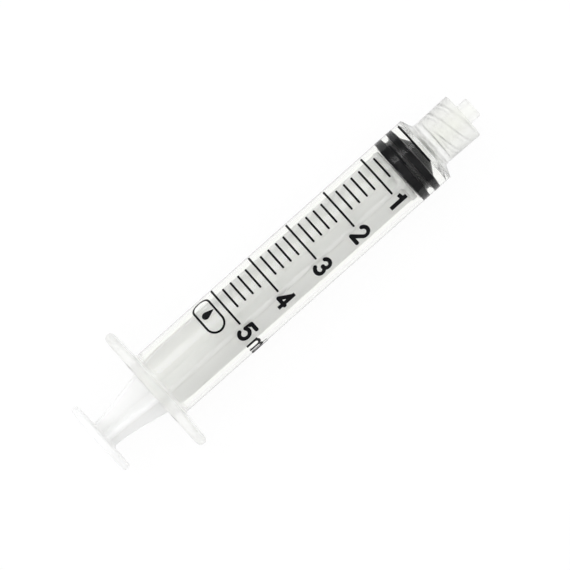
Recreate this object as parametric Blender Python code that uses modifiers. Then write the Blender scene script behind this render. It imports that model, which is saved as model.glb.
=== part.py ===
"""A 5 mL luer-lock syringe: barrel, plunger rod, rubber stopper and the ink of its scale.

Each piece is modelled in the syringe's own frame. Local Z is the syringe's axis: a station is
the distance along it from the finger flange's rear face towards the nozzle. An empty lays the
axis down along world +X, so that the flats of the flange stand on the ground at Z = 0.
"""

import math

import bmesh
import bpy
from mathutils import Matrix, Vector

MM = 0.001

# Barrel tube and scale
BORE_RADIUS = 6.0 * MM
BARREL_RADIUS = 6.7 * MM
ML_LENGTH = 1e-6 / (math.pi * BORE_RADIUS**2)  # stroke that moves one millilitre
ZERO_STATION = 64.03 * MM
LEFT_AT_REST = 1.28 * MM  # stroke still to go before the stopper reads zero
CAPACITY_ML = 5
LINES_PER_ML = 5

# Finger flange
FLANGE_RADIUS = 12.95 * MM
FLANGE_HALF_WIDTH = 7.3 * MM
FLANGE_CORNER = 3.0 * MM
FLANGE_ROOT_THICKNESS = 2.1 * MM
FLANGE_RIM_THICKNESS = 1.7 * MM
MOUTH_RADIUS = 6.3 * MM
MOUTH_DEPTH = 0.8 * MM
BEAD_RADIUS = 5.8 * MM
BEAD_STATION = 2.1 * MM
BEAD_HALF_LENGTH = 0.2 * MM
BEAD_RAMP = 0.4 * MM
FLANGE_ROOT_FILLET = 0.5 * MM
FLANGE_RIM_FILLET = 0.7 * MM

# Shoulder, nozzle and luer collar
BORE_END = 64.1 * MM
SEAT_RADIUS = 4.85 * MM
SEAT_STATION = 64.3 * MM
SHOULDER_STATION = 65.05 * MM
COLLAR_ROOT_STATION = 65.95 * MM
COLLAR_ROOT_RADIUS = 4.45 * MM
COLLAR_MOUTH_RADIUS = 4.6 * MM
COLLAR_MOUTH_STATION = 74.03 * MM
COLLAR_FLOOR_STATION = 67.4 * MM
THREAD_WALL_RADIUS = 3.95 * MM
THREAD_DEPTH = 0.4 * MM
THREAD_LEAD = 5.0 * MM
THREAD_STARTS = 2
THREAD_CROSSING = 70.45 * MM  # station where a ridge crosses the top of the collar
THREAD_BEGIN = 68.2 * MM
THREAD_END = 73.5 * MM
NOZZLE_TIP_STATION = 76.4 * MM
NOZZLE_TIP_RADIUS = 1.975 * MM
NOZZLE_TAPER = 0.03  # growth of the radius per length: the 6 % luer taper
NOZZLE_BORE_RADIUS = 1.05 * MM
NOZZLE_BORE_STATION = 66.45 * MM
NOZZLE_TIP_FILLET = 0.25 * MM
NOZZLE_ROOT_FILLET = 0.2 * MM
COLLAR_FLOOR_FILLET = 0.3 * MM
COLLAR_MOUTH_INNER_FILLET = 0.15 * MM
COLLAR_MOUTH_OUTER_FILLET = 0.2 * MM
COLLAR_ROOT_FILLET = 0.9 * MM
SHOULDER_FILLET = 0.3 * MM

# Plunger rod
PRESS_RADIUS = 7.25 * MM
PRESS_FRONT = -11.6 * MM
PRESS_REAR = -12.85 * MM
PRESS_DOME = 0.15 * MM  # rise of the front face towards the ribs
PRESS_FILLET = 0.35 * MM
RIB_THICKNESS = 1.1 * MM
RIB_HALF_WIDTH = 5.5 * MM
RIB_HALF_WIDTH_AT_PRESS = 2.85 * MM
RIB_FLARE_END = 6.0 * MM
ROD_TURN = math.radians(21)
DISC_RADIUS = 5.4 * MM
DISC_REAR = 57.3 * MM
DISC_FRONT = 58.4 * MM
NECK_RADIUS = 2.1 * MM
BARB_RADIUS = 3.1 * MM
BARB_REAR = 60.35 * MM
BARB_SHOULDER = 60.9 * MM
BARB_TIP_RADIUS = 1.6 * MM
BARB_TIP = 62.4 * MM
BARB_TIP_FILLET = 0.3 * MM
HEAD_FILLET = 0.2 * MM

# Stopper
RING_RADIUS = 5.95 * MM
GROOVE_RADIUS = 5.5 * MM
STOPPER_REAR = 58.65 * MM
GROOVE_REAR = 60.25 * MM
GROOVE_FRONT = 61.4 * MM
GROOVE_SLOPE = 0.25 * MM  # how far each side of the groove leans towards its floor
READING_EDGE = ZERO_STATION - LEFT_AT_REST
NOSE_BASE_RADIUS = 4.75 * MM
NOSE_BASE = 62.95 * MM
NOSE_TIP_RADIUS = 2.0 * MM
NOSE_TIP = 64.5 * MM
SOCKET_GAP = 0.1 * MM
SOCKET_LIP_FRONT = 60.15 * MM
NOSE_TIP_FILLET = 0.4 * MM
RING_FILLET = 0.2 * MM
GROOVE_FILLET = 0.12 * MM

# Ink
INK_RADIUS = 6.74 * MM
INK_THICKNESS = 0.06 * MM
PRINT_SKEW = math.radians(7.5)  # turn of the print round the barrel over the scale's length
LINE_WIDTH = 0.4 * MM
LINE_CENTRE = math.radians(28)
LONG_LINE_HALF = math.radians(43.5)
SHORT_LINE_HALF = math.radians(21.5)
NUMERAL_STROKE = 0.76 * MM
ONE_STROKE = 0.88 * MM
NUMERAL_HALF_HEIGHT = 1.55 * MM
NUMERAL_HALF_WIDTH = 0.97 * MM
NUMERAL_ANGLE = math.radians(-31.8)
UNIT_STROKE = 0.55 * MM
UNIT_M_ANGLE = math.radians(-67.8)
UNIT_L_ANGLE = math.radians(-98.5)
UNIT_HALF_WIDTH = 1.6 * MM
UNIT_X_HEIGHT = 2.75 * MM
MARK_STATION = 16.6 * MM
MARK_ANGLE = math.radians(30)
MARK_STROKE = 0.4 * MM
MARK_HALF_WIDTH = 3.9 * MM
MARK_HALF_HEIGHT = 1.75 * MM
DROPLET_RADIUS = 0.75 * MM
DROPLET_TAIL = 1.9 * MM
DROPLET_OFFSET = 0.35 * MM

# Place of the axis in the world, with the origin below the middle of the whole syringe
AXIS_HEIGHT = FLANGE_HALF_WIDTH
MIDDLE_STATION = (PRESS_REAR + NOZZLE_TIP_STATION) / 2

# Fineness of the facets
TURN_STEPS = 40
ARC_STEPS = 2
THREAD_STEPS_PER_TURN = 20
WRAP_STEP = math.radians(8)
RIB_STEPS = 8


# ---------------------------------------------------------------- scene helpers


def clear_scene():
    """Removes every object of the scene."""
    for obj in list(bpy.data.objects):
        bpy.data.objects.remove(obj, do_unlink=True)


def new_collection(name):
    """A collection of this name, linked to the scene."""
    collection = bpy.data.collections.new(name)
    bpy.context.scene.collection.children.link(collection)
    return collection


def finish(name, colour, roughness, alpha=1.0):
    """A non-metallic Principled material."""
    material = bpy.data.materials.new(name)
    material.use_nodes = True
    shader = material.node_tree.nodes["Principled BSDF"]
    shader.inputs["Base Color"].default_value = (*colour, 1.0)
    shader.inputs["Roughness"].default_value = roughness
    shader.inputs["Metallic"].default_value = 0.0
    shader.inputs["Alpha"].default_value = alpha
    return material


def add_empty(name, collection, parent=None):
    """An empty that carries pieces."""
    empty = bpy.data.objects.new(name, None)
    collection.objects.link(empty)
    empty.parent = parent
    return empty


def add_piece(name, data, collection, parent, material=None):
    """An object for this mesh or curve, parented to an empty on the syringe's axis."""
    obj = bpy.data.objects.new(name, data)
    collection.objects.link(obj)
    obj.parent = parent
    if material:
        data.materials.append(material)
    return obj


def make_tool(obj):
    """Marks an object as one that only shapes others."""
    obj.hide_render = True
    obj.display_type = "WIRE"
    return obj


def combine(obj, tool, operation):
    """Joins, cuts or trims a piece with a tool."""
    modifier = obj.modifiers.new(f"{operation.lower()}_{tool.name}", "BOOLEAN")
    modifier.operation = operation
    modifier.solver = "EXACT"
    modifier.object = tool


def baked(obj):
    """The mesh of an object with its modifiers applied and its loose caps joined."""
    graph = bpy.context.evaluated_depsgraph_get()
    graph.update()
    mesh = bpy.data.meshes.new_from_object(obj.evaluated_get(graph))
    shape = bmesh.new()
    shape.from_mesh(mesh)
    bmesh.ops.remove_doubles(shape, verts=shape.verts, dist=1e-6)
    shape.to_mesh(mesh)
    shape.free()
    return mesh


def discard(*objects):
    """Removes helper objects that have done their work."""
    for obj in objects:
        bpy.data.objects.remove(obj, do_unlink=True)


# ---------------------------------------------------------------- outlines


def arc(centre, radius, start, end, steps):
    """Points of a circular arc between two angles in radians."""
    angles = [start + (end - start) * i / steps for i in range(steps + 1)]
    return [(centre[0] + radius * math.cos(a), centre[1] + radius * math.sin(a)) for a in angles]


def arc_degrees(centre, radius, start, end, steps):
    """Points of a circular arc between two angles in degrees."""
    return arc(centre, radius, math.radians(start), math.radians(end), steps)


def rounded(corners):
    """An outline whose corners (x, y, fillet radius) are turned into arcs where the radius isn't 0."""
    points = []
    for i, (x, y, radius) in enumerate(corners):
        here = Vector((x, y))
        if not radius:
            points.append((x, y))
            continue
        before = (Vector(corners[i - 1][:2]) - here).normalized()
        after = (Vector(corners[(i + 1) % len(corners)][:2]) - here).normalized()
        half = before.angle(after) / 2
        centre = here + (before + after).normalized() * radius / math.sin(half)
        reach = radius / math.tan(half)
        first = here + before * reach - centre
        turn = first.angle_signed(here + after * reach - centre)
        for k in range(ARC_STEPS + 1):
            points.append(tuple(centre + Matrix.Rotation(-turn * k / ARC_STEPS, 2) @ first))
    return points


def outline_curve(name, loops, closed, depth):
    """A flat 2D curve of straight segments, as thick as the depth."""
    curve = bpy.data.curves.new(name, "CURVE")
    curve.dimensions = "2D"
    curve.extrude = depth / 2
    curve.fill_mode = "BOTH" if closed else "NONE"
    for loop in loops:
        spline = curve.splines.new("POLY")
        spline.points.add(len(loop) - 1)
        for point, (x, y) in zip(spline.points, loop):
            point.co = (x, y, 0.0, 1.0)
        spline.use_cyclic_u = closed
    return curve


def turned(name, profile, closed, collection, parent, material=None):
    """A solid of revolution. The profile's (radius, station) points run down its outer side."""
    mesh = bpy.data.meshes.new(name)
    edges = [(i, i + 1) for i in range(len(profile) - 1)]
    if closed:
        edges.append((len(profile) - 1, 0))
    mesh.from_pydata([(radius, 0.0, station) for radius, station in profile], edges, [])
    obj = add_piece(name, mesh, collection, parent, material)
    screw = obj.modifiers.new("turn", "SCREW")
    screw.axis = "Z"
    screw.angle = math.tau
    screw.steps = TURN_STEPS
    screw.render_steps = TURN_STEPS
    screw.use_merge_vertices = True
    screw.merge_threshold = 1e-6
    screw.use_smooth_shade = True
    return obj


# ---------------------------------------------------------------- barrel


def barrel_profile():
    """The tube's wall with its flange, shoulder, collar, nozzle, front seat and retaining bead."""
    nozzle_root = NOZZLE_TIP_RADIUS + NOZZLE_TAPER * (NOZZLE_TIP_STATION - COLLAR_FLOOR_STATION)
    return rounded(
        [
            (NOZZLE_BORE_RADIUS, NOZZLE_TIP_STATION, 0),
            (NOZZLE_TIP_RADIUS, NOZZLE_TIP_STATION, NOZZLE_TIP_FILLET),
            (nozzle_root, COLLAR_FLOOR_STATION, NOZZLE_ROOT_FILLET),
            (THREAD_WALL_RADIUS, COLLAR_FLOOR_STATION, COLLAR_FLOOR_FILLET),
            (THREAD_WALL_RADIUS, COLLAR_MOUTH_STATION, COLLAR_MOUTH_INNER_FILLET),
            (COLLAR_MOUTH_RADIUS, COLLAR_MOUTH_STATION, COLLAR_MOUTH_OUTER_FILLET),
            (COLLAR_ROOT_RADIUS, COLLAR_ROOT_STATION, COLLAR_ROOT_FILLET),
            (BARREL_RADIUS, SHOULDER_STATION, SHOULDER_FILLET),
            (BARREL_RADIUS, FLANGE_ROOT_THICKNESS, FLANGE_ROOT_FILLET),
            (FLANGE_RADIUS, FLANGE_RIM_THICKNESS, FLANGE_RIM_FILLET),
            (FLANGE_RADIUS, 0.0, FLANGE_RIM_FILLET),
            (MOUTH_RADIUS, 0.0, 0),
            (BORE_RADIUS, MOUTH_DEPTH, 0),
            (BORE_RADIUS, BEAD_STATION - BEAD_HALF_LENGTH - BEAD_RAMP, 0),
            (BEAD_RADIUS, BEAD_STATION - BEAD_HALF_LENGTH, 0),
            (BEAD_RADIUS, BEAD_STATION + BEAD_HALF_LENGTH, 0),
            (BORE_RADIUS, BEAD_STATION + BEAD_HALF_LENGTH + BEAD_RAMP, 0),
            (BORE_RADIUS, BORE_END, 0),
            (SEAT_RADIUS, SEAT_STATION, 0),
            (NOZZLE_BORE_RADIUS, NOZZLE_BORE_STATION, 0),
        ]
    )


def flange_trim(collection, parent):
    """The prism that cuts the round flange to its two flats, with rounded corners."""
    half_length = 2 * FLANGE_RADIUS
    wing = math.sqrt(FLANGE_RADIUS**2 - FLANGE_HALF_WIDTH**2) + FLANGE_CORNER / 2
    corners = [
        (FLANGE_HALF_WIDTH, wing, FLANGE_CORNER),
        (0.0, half_length, 0),
        (-FLANGE_HALF_WIDTH, wing, FLANGE_CORNER),
        (-FLANGE_HALF_WIDTH, -wing, FLANGE_CORNER),
        (0.0, -half_length, 0),
        (FLANGE_HALF_WIDTH, -wing, FLANGE_CORNER),
    ]
    depth = 4 * NOZZLE_TIP_STATION
    curve = add_piece(
        "flange_trim_outline", outline_curve("flange_trim", [rounded(corners)], True, depth),
        collection, parent,
    )
    trim = make_tool(add_piece("flange_trim", baked(curve), collection, parent))
    discard(curve)
    return trim


def thread_ridge(index, collection, parent):
    """One start of the right-hand internal thread: a helical rod half sunk in the collar's wall."""
    turns = (THREAD_END - THREAD_BEGIN) / THREAD_LEAD
    steps = round(turns * THREAD_STEPS_PER_TURN)
    crossing = THREAD_CROSSING + index * THREAD_LEAD / THREAD_STARTS
    curve = bpy.data.curves.new("thread_path", "CURVE")
    curve.dimensions = "3D"
    curve.bevel_depth = THREAD_DEPTH
    curve.bevel_resolution = 1
    curve.use_fill_caps = True
    spline = curve.splines.new("POLY")
    spline.points.add(steps)
    for i, point in enumerate(spline.points):
        station = THREAD_BEGIN + (THREAD_END - THREAD_BEGIN) * i / steps
        angle = math.tau * (station - crossing) / THREAD_LEAD
        x = -THREAD_WALL_RADIUS * math.cos(angle)
        y = -THREAD_WALL_RADIUS * math.sin(angle)
        point.co = (x, y, station, 1.0)
    path = add_piece("thread_path", curve, collection, parent)
    ridge = make_tool(add_piece(f"thread_ridge_{index + 1}", baked(path), collection, parent))
    discard(path)
    return ridge


def build_barrel(pieces, tools, axis, material):
    """The barrel: one moulding from the finger flange to the luer collar."""
    barrel = turned("barrel", barrel_profile(), True, pieces, axis, material)
    combine(barrel, flange_trim(tools, axis), "INTERSECT")
    for index in range(THREAD_STARTS):
        combine(barrel, thread_ridge(index, tools, axis), "UNION")


# ---------------------------------------------------------------- plunger


def rib_half_width(station):
    """Half the width across two opposite ribs, which swells smoothly away from the thumb press."""
    share = (station - PRESS_FRONT) / (RIB_FLARE_END - PRESS_FRONT)
    share = min(max(share, 0.0), 1.0)
    eased = share * share * (3 - 2 * share)
    return RIB_HALF_WIDTH_AT_PRESS + (RIB_HALF_WIDTH - RIB_HALF_WIDTH_AT_PRESS) * eased


def rib_pair(name, turn, collection, parent):
    """Two opposite ribs as one plate that runs from inside the thumb press to inside the disc."""
    rear = (PRESS_FRONT + PRESS_REAR) / 2
    front = (DISC_REAR + DISC_FRONT) / 2
    flare = [PRESS_FRONT + (RIB_FLARE_END - PRESS_FRONT) * i / RIB_STEPS for i in range(RIB_STEPS + 1)]
    stations = [rear, *flare, front]
    side = [(rib_half_width(station), station) for station in stations]
    outline = side + [(-width, station) for width, station in reversed(side)]
    curve = outline_curve(name, [outline], True, RIB_THICKNESS)
    flat = add_piece("rib_outline", curve, collection, parent)
    plate = make_tool(add_piece(name, baked(flat), collection, parent))
    discard(flat)
    plate.data.transform(Matrix.Rotation(turn, 4, "Z") @ Matrix.Rotation(math.pi / 2, 4, "X"))
    return plate


def press_profile():
    """The thumb press: a thin round plate, slightly thicker where it meets the ribs."""
    return rounded(
        [
            (0.0, PRESS_FRONT + PRESS_DOME, 0),
            (RIB_HALF_WIDTH_AT_PRESS, PRESS_FRONT + PRESS_DOME, 0),
            (PRESS_RADIUS, PRESS_FRONT, PRESS_FILLET),
            (PRESS_RADIUS, PRESS_REAR, PRESS_FILLET),
            (0.0, PRESS_REAR, 0),
        ]
    )


def head_profile():
    """The rod's front end: the disc behind the stopper, the neck and the barbed tip."""
    return rounded(
        [
            (0.0, BARB_TIP, 0),
            (BARB_TIP_RADIUS, BARB_TIP, BARB_TIP_FILLET),
            (BARB_RADIUS, BARB_SHOULDER, HEAD_FILLET),
            (BARB_RADIUS, BARB_REAR, 0),
            (NECK_RADIUS, BARB_REAR, 0),
            (NECK_RADIUS, DISC_FRONT, 0),
            (DISC_RADIUS, DISC_FRONT, HEAD_FILLET),
            (DISC_RADIUS, DISC_REAR, HEAD_FILLET),
            (0.0, DISC_REAR, 0),
        ]
    )


def build_rod(pieces, tools, rod_axis, material):
    """The plunger rod: thumb press, crossed ribs and head in one moulding."""
    rod = turned("plunger_rod", press_profile(), False, pieces, rod_axis, material)
    combine(rod, rib_pair("ribs_upright", 0.0, tools, rod_axis), "UNION")
    combine(rod, rib_pair("ribs_level", math.pi / 2, tools, rod_axis), "UNION")
    head = make_tool(turned("rod_head", head_profile(), False, tools, rod_axis))
    combine(rod, head, "UNION")


def stopper_profile():
    """The stopper: conical nose, two sealing rings and the socket that snaps over the rod's tip."""
    return rounded(
        [
            (0.0, NOSE_TIP, 0),
            (NOSE_TIP_RADIUS, NOSE_TIP, NOSE_TIP_FILLET),
            (NOSE_BASE_RADIUS, NOSE_BASE, 0),
            (RING_RADIUS, READING_EDGE, RING_FILLET),
            (RING_RADIUS, GROOVE_FRONT, RING_FILLET),
            (GROOVE_RADIUS, GROOVE_FRONT - GROOVE_SLOPE, GROOVE_FILLET),
            (GROOVE_RADIUS, GROOVE_REAR + GROOVE_SLOPE, GROOVE_FILLET),
            (RING_RADIUS, GROOVE_REAR, RING_FILLET),
            (RING_RADIUS, STOPPER_REAR, RING_FILLET),
            (NECK_RADIUS + SOCKET_GAP, STOPPER_REAR, 0),
            (NECK_RADIUS + SOCKET_GAP, SOCKET_LIP_FRONT, 0),
            (BARB_RADIUS + SOCKET_GAP, SOCKET_LIP_FRONT, 0),
            (BARB_RADIUS + SOCKET_GAP, BARB_SHOULDER + SOCKET_GAP / 2, 0),
            (BARB_TIP_RADIUS + SOCKET_GAP, BARB_TIP + SOCKET_GAP, 0),
            (0.0, BARB_TIP + SOCKET_GAP, 0),
        ]
    )


# ---------------------------------------------------------------- ink


class Kit:
    """What every printed mark is made with."""

    def __init__(self, pieces, tools, axis, ink):
        self.pieces = pieces
        self.tools = tools
        self.axis = axis
        self.ink = ink


def askew(angle, station):
    """The angle of a mark at a station, with the print's skew about the middle of the scale."""
    scale_length = CAPACITY_ML * ML_LENGTH
    return angle - PRINT_SKEW * (station - ZERO_STATION + scale_length / 2) / scale_length


def rolled_on(mesh, station, angle):
    """Rolls a flat mesh onto the barrel: X runs round it clockwise, Y along it, and Z outwards."""
    middle = askew(angle, station)
    shape = bmesh.new()
    shape.from_mesh(mesh)
    cut = WRAP_STEP * INK_RADIUS
    across = [vertex.co.x for vertex in shape.verts]
    for i in range(math.ceil(min(across) / cut), math.floor(max(across) / cut) + 1):
        everything = shape.verts[:] + shape.edges[:] + shape.faces[:]
        bmesh.ops.bisect_plane(
            shape, geom=everything, dist=1e-7, plane_co=(i * cut, 0, 0), plane_no=(1, 0, 0)
        )
    for vertex in shape.verts:
        turn = middle - vertex.co.x / INK_RADIUS
        radius = INK_RADIUS + INK_THICKNESS / 2 + vertex.co.z
        x = -radius * math.cos(turn)
        y = radius * math.sin(turn)
        vertex.co = (x, y, station + vertex.co.y)
    shape.to_mesh(mesh)
    shape.free()
    return mesh


def stroke(points, width, closed, collection):
    """A flat band of one width along a line, as a wall as high as the ink is thick."""
    curve = outline_curve("stroke", [points], False, INK_THICKNESS)
    curve.splines[0].use_cyclic_u = closed
    wall = add_piece("stroke", curve, collection, None)
    solidify = wall.modifiers.new("width", "SOLIDIFY")
    solidify.thickness = width
    solidify.offset = 0.0
    solidify.use_even_offset = True
    band = add_piece("band", baked(wall), collection, None)
    discard(wall)
    return band


def ink_of_strokes(name, strokes, width, station, angle, kit, closed=False):
    """One printed mark made of bands that run into each other."""
    bands = [stroke(points, width, closed, kit.tools) for points in strokes]
    for other in bands[1:]:
        combine(bands[0], other, "UNION")
    mesh = rolled_on(baked(bands[0]), station, angle)
    discard(*bands)
    return add_piece(name, mesh, kit.pieces, kit.axis, kit.ink)


def scale_line(tenths, kit):
    """The line for this many tenths of a millilitre: long at each whole one."""
    station = ZERO_STATION - tenths / 10 * ML_LENGTH
    half = LONG_LINE_HALF if tenths % 10 == 0 else SHORT_LINE_HALF
    reach = half * INK_RADIUS
    name = f"scale_line_{tenths // 10}_{tenths % 10}"
    ink_of_strokes(name, [[(-reach, 0), (reach, 0)]], LINE_WIDTH, station, LINE_CENTRE, kit)


def oval_arc(centre, wide, high, start, end, steps):
    """Points of part of an oval between two angles in degrees."""
    circle = arc_degrees((0, 0), 1, start, end, steps)
    return [(centre[0] + wide * x, centre[1] + high * y) for x, y in circle]


def numeral_strokes():
    """The centre lines of the numerals 1 to 5, drawn upright round (0, 0)."""
    w = NUMERAL_HALF_WIDTH
    h = NUMERAL_HALF_HEIGHT
    end = h + NUMERAL_STROKE / 2
    two_bowl = oval_arc((0, 0.42 * h), w, 0.58 * h, 165, -32, 9)
    three_top = oval_arc((0, 0.5 * h), 0.9 * w, 0.5 * h, 155, -80, 8)
    three_foot = oval_arc((0, -0.48 * h), w, 0.52 * h, 80, -155, 9)
    four_arm = [(0.5 * w, 0.95 * h), (-w, -0.5 * h), (1.35 * w, -0.5 * h)]
    five_bowl = oval_arc((-0.05 * w, -0.36 * h), w, 0.64 * h, 132, -150, 10)
    return {
        1: [[(0.12 * w, -end), (0.12 * w, 0.91 * end)], [(0.12 * w, 0.48 * end), (-1.1 * w, 0.38 * end)]],
        2: [two_bowl + [(-w, -h), (w, -h)]],
        3: [three_top, three_foot],
        4: [[(0.55 * w, -end), (0.55 * w, end)], four_arm],
        5: [[(w, h), (-0.6 * w, h)] + five_bowl],
    }


def letter_m():
    """The centre lines of a small m that stands on the numerals' foot line."""
    w = UNIT_HALF_WIDTH
    foot = -NUMERAL_HALF_HEIGHT - UNIT_STROKE / 2
    bow = w / 2
    top = foot + UNIT_X_HEIGHT - UNIT_STROKE / 2 - bow
    strokes = [[(-w, foot), (-w, top + bow)]]
    for side in (-1, 1):
        strokes.append(arc_degrees((side * bow, top), bow, 180, 0, 6) + [(side * bow + bow, foot)])
    return strokes


def letter_l():
    """The centre line of a capital L."""
    w = NUMERAL_HALF_WIDTH * 0.8
    h = NUMERAL_HALF_HEIGHT
    return [[(-w, h), (-w, -h), (w, -h)]]


def mark_ring():
    """The outline of the generic mark: a long ring with round ends."""
    straight = MARK_HALF_WIDTH - MARK_HALF_HEIGHT
    right = arc_degrees((straight, 0), MARK_HALF_HEIGHT, 90, -90, 12)
    left = arc_degrees((-straight, 0), MARK_HALF_HEIGHT, -90, -270, 12)
    return right + left


def build_droplet(kit):
    """The droplet in the generic mark: a round belly with two sides that meet in a point."""
    spread = math.degrees(math.acos(DROPLET_RADIUS / DROPLET_TAIL))
    belly = arc_degrees((0, -DROPLET_OFFSET), DROPLET_RADIUS, 90 - spread, spread - 270, 12)
    outline = [(0.0, DROPLET_TAIL - DROPLET_OFFSET), *belly]
    flat = add_piece(
        "droplet_outline", outline_curve("droplet", [outline], True, INK_THICKNESS), kit.tools, None
    )
    mesh = rolled_on(baked(flat), MARK_STATION, MARK_ANGLE)
    discard(flat)
    add_piece("mark_droplet", mesh, kit.pieces, kit.axis, kit.ink)


def build_print(kit):
    """The scale, its numerals and unit, and the generic mark."""
    for tenths in range(0, CAPACITY_ML * 10 + 1, 10 // LINES_PER_ML):
        scale_line(tenths, kit)
    for number, strokes in numeral_strokes().items():
        station = ZERO_STATION - number * ML_LENGTH
        width = ONE_STROKE if number == 1 else NUMERAL_STROKE
        ink_of_strokes(f"numeral_{number}", strokes, width, station, NUMERAL_ANGLE, kit)
    full = ZERO_STATION - CAPACITY_ML * ML_LENGTH
    ink_of_strokes("unit_m", letter_m(), UNIT_STROKE, full, UNIT_M_ANGLE, kit)
    ink_of_strokes("unit_l", letter_l(), UNIT_STROKE, full, UNIT_L_ANGLE, kit)
    ink_of_strokes("mark_ring", [mark_ring()], MARK_STROKE, MARK_STATION, MARK_ANGLE, kit, closed=True)
    build_droplet(kit)


def main():
    clear_scene()
    pieces = new_collection("luer_lock_syringe")
    tools = new_collection("shaping_tools")
    clear_plastic = finish("clear_polypropylene", (0.86, 0.89, 0.86), 0.15, alpha=0.45)
    pale_plastic = finish("pale_polypropylene", (0.88, 0.90, 0.87), 0.35, alpha=0.8)
    rubber = finish("black_rubber", (0.012, 0.012, 0.013), 0.45)
    ink = finish("black_ink", (0.008, 0.008, 0.009), 0.5)

    axis = add_empty("syringe_axis", pieces)
    axis.location = (-MIDDLE_STATION, 0.0, AXIS_HEIGHT)
    axis.rotation_euler = (0.0, math.pi / 2, 0.0)
    rod_axis = add_empty("rod_axis", pieces, axis)
    rod_axis.rotation_euler = (0.0, 0.0, ROD_TURN)

    build_barrel(pieces, tools, axis, clear_plastic)
    build_rod(pieces, tools, rod_axis, pale_plastic)
    turned("stopper", stopper_profile(), False, pieces, axis, rubber)
    build_print(Kit(pieces, tools, axis, ink))


main()
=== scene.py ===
"""Looks of a 5 mL luer-lock syringe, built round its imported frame.

The frame holds the syringe's true sizes: its axis lies along +X with the nozzle at the +X end. A station is
a distance along that axis from the finger flange's rear face, and an angle round it runs from straight up
towards +Y. Each moulded piece is one class, which builds its own mesh and dresses it.
"""

import logging
import math
from dataclasses import dataclass
from enum import Enum
from functools import cache
from typing import Callable, Sequence

import bmesh
import bpy
from mathutils import Matrix, Vector


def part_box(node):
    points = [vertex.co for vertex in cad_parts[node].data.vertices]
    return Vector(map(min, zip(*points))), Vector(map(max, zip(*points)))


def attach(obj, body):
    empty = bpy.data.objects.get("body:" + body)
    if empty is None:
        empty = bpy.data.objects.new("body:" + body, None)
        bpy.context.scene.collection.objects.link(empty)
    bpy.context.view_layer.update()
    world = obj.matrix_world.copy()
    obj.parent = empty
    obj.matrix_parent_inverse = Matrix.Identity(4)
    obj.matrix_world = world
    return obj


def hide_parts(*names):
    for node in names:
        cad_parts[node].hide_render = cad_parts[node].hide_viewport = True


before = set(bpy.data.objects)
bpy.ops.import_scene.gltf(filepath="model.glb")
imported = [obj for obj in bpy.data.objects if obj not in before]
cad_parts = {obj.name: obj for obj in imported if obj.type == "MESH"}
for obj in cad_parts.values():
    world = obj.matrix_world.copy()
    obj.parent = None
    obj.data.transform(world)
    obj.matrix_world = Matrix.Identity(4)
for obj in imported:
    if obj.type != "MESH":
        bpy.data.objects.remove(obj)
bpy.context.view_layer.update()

LOG = logging.getLogger("syringe")
MM = 0.001

Point = tuple[float, float]
Corner = tuple[float, float, float]
Section = Callable[[float], list[Point]]


class Body(Enum):
    """The frame's rigid bodies."""

    BARREL = "barrel"
    STOPPER = "stopper"
    ROD = "plunger_rod"


class Slot(Enum):
    """The record's material slots."""

    CLEAR = "clear_polypropylene"
    PALE = "pale_polypropylene"
    RUBBER = "black_rubber"
    INK = "black_ink"


# ---------------------------------------------------------------- geometry helpers


@dataclass(frozen=True)
class SyringeAxis:
    """The syringe's axis in the frame."""

    origin: Vector

    @classmethod
    def from_frame(cls) -> "SyringeAxis":
        """Reads the axis from the barrel's box, whose lowest X is the flange's rear face."""
        low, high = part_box("barrel")
        return cls(Vector((low.x, (low.y + high.y) / 2, (low.z + high.z) / 2)))

    def point(self, radius: float, station: float, angle: float) -> Vector:
        """Finds a place in the frame.

        Args:
            radius: Distance from the axis, in metres.
            station: Distance along the axis from the flange's rear face, in metres.
            angle: Angle round the axis from straight up towards +Y, in radians.

        Returns:
            The place in the frame, in metres.
        """
        return self.origin + Vector((station, radius * math.sin(angle), radius * math.cos(angle)))


def rounded(corners: Sequence[Corner], steps: int = 6, support: float = 0.04 * MM) -> list[Point]:
    """Turns an outline's corners into arcs, with a point just before and after each to hold the flats flat.

    Args:
        corners: (x, y, fillet radius) of each corner; a radius of 0 keeps it sharp.
        steps: Straight steps in each arc.
        support: Distance from an arc's end to its supporting point.

    Returns:
        The outline's points.
    """
    points: list[Point] = []
    for i, (x, y, radius) in enumerate(corners):
        here = Vector((x, y))
        if radius <= 0:
            points.append((x, y))
            continue
        before = (Vector(corners[i - 1][:2]) - here).normalized()
        after = (Vector(corners[(i + 1) % len(corners)][:2]) - here).normalized()
        half = before.angle(after) / 2
        centre = here + (before + after).normalized() * radius / math.sin(half)
        reach = radius / math.tan(half)
        first = here + before * reach - centre
        turn = first.angle_signed(here + after * reach - centre)
        points.append(tuple(here + before * (reach + support)))
        for k in range(steps + 1):
            points.append(tuple(centre + Matrix.Rotation(-turn * k / steps, 2) @ first))
        points.append(tuple(here + after * (reach + support)))
    return points


def arc(centre: Point, radius: float, start: float, end: float, steps: int) -> list[Point]:
    """Lays points along a circular arc.

    Args:
        centre: The arc's centre.
        radius: The arc's radius.
        start: First angle in degrees.
        end: Last angle in degrees.
        steps: Straight steps in the arc.

    Returns:
        The points, both ends included.
    """
    angles = [math.radians(start + (end - start) * i / steps) for i in range(steps + 1)]
    return [(centre[0] + radius * math.cos(a), centre[1] + radius * math.sin(a)) for a in angles]


def oval(centre: Point, wide: float, high: float, start: float, end: float, steps: int) -> tuple[Point, ...]:
    """Lays points along part of an oval.

    Args:
        centre: The oval's centre.
        wide: Half its width.
        high: Half its height.
        start: First angle in degrees.
        end: Last angle in degrees.
        steps: Straight steps in the arc.

    Returns:
        The points, both ends included.
    """
    circle = arc((0.0, 0.0), 1.0, start, end, steps)
    return tuple((centre[0] + wide * x, centre[1] + high * y) for x, y in circle)


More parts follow.
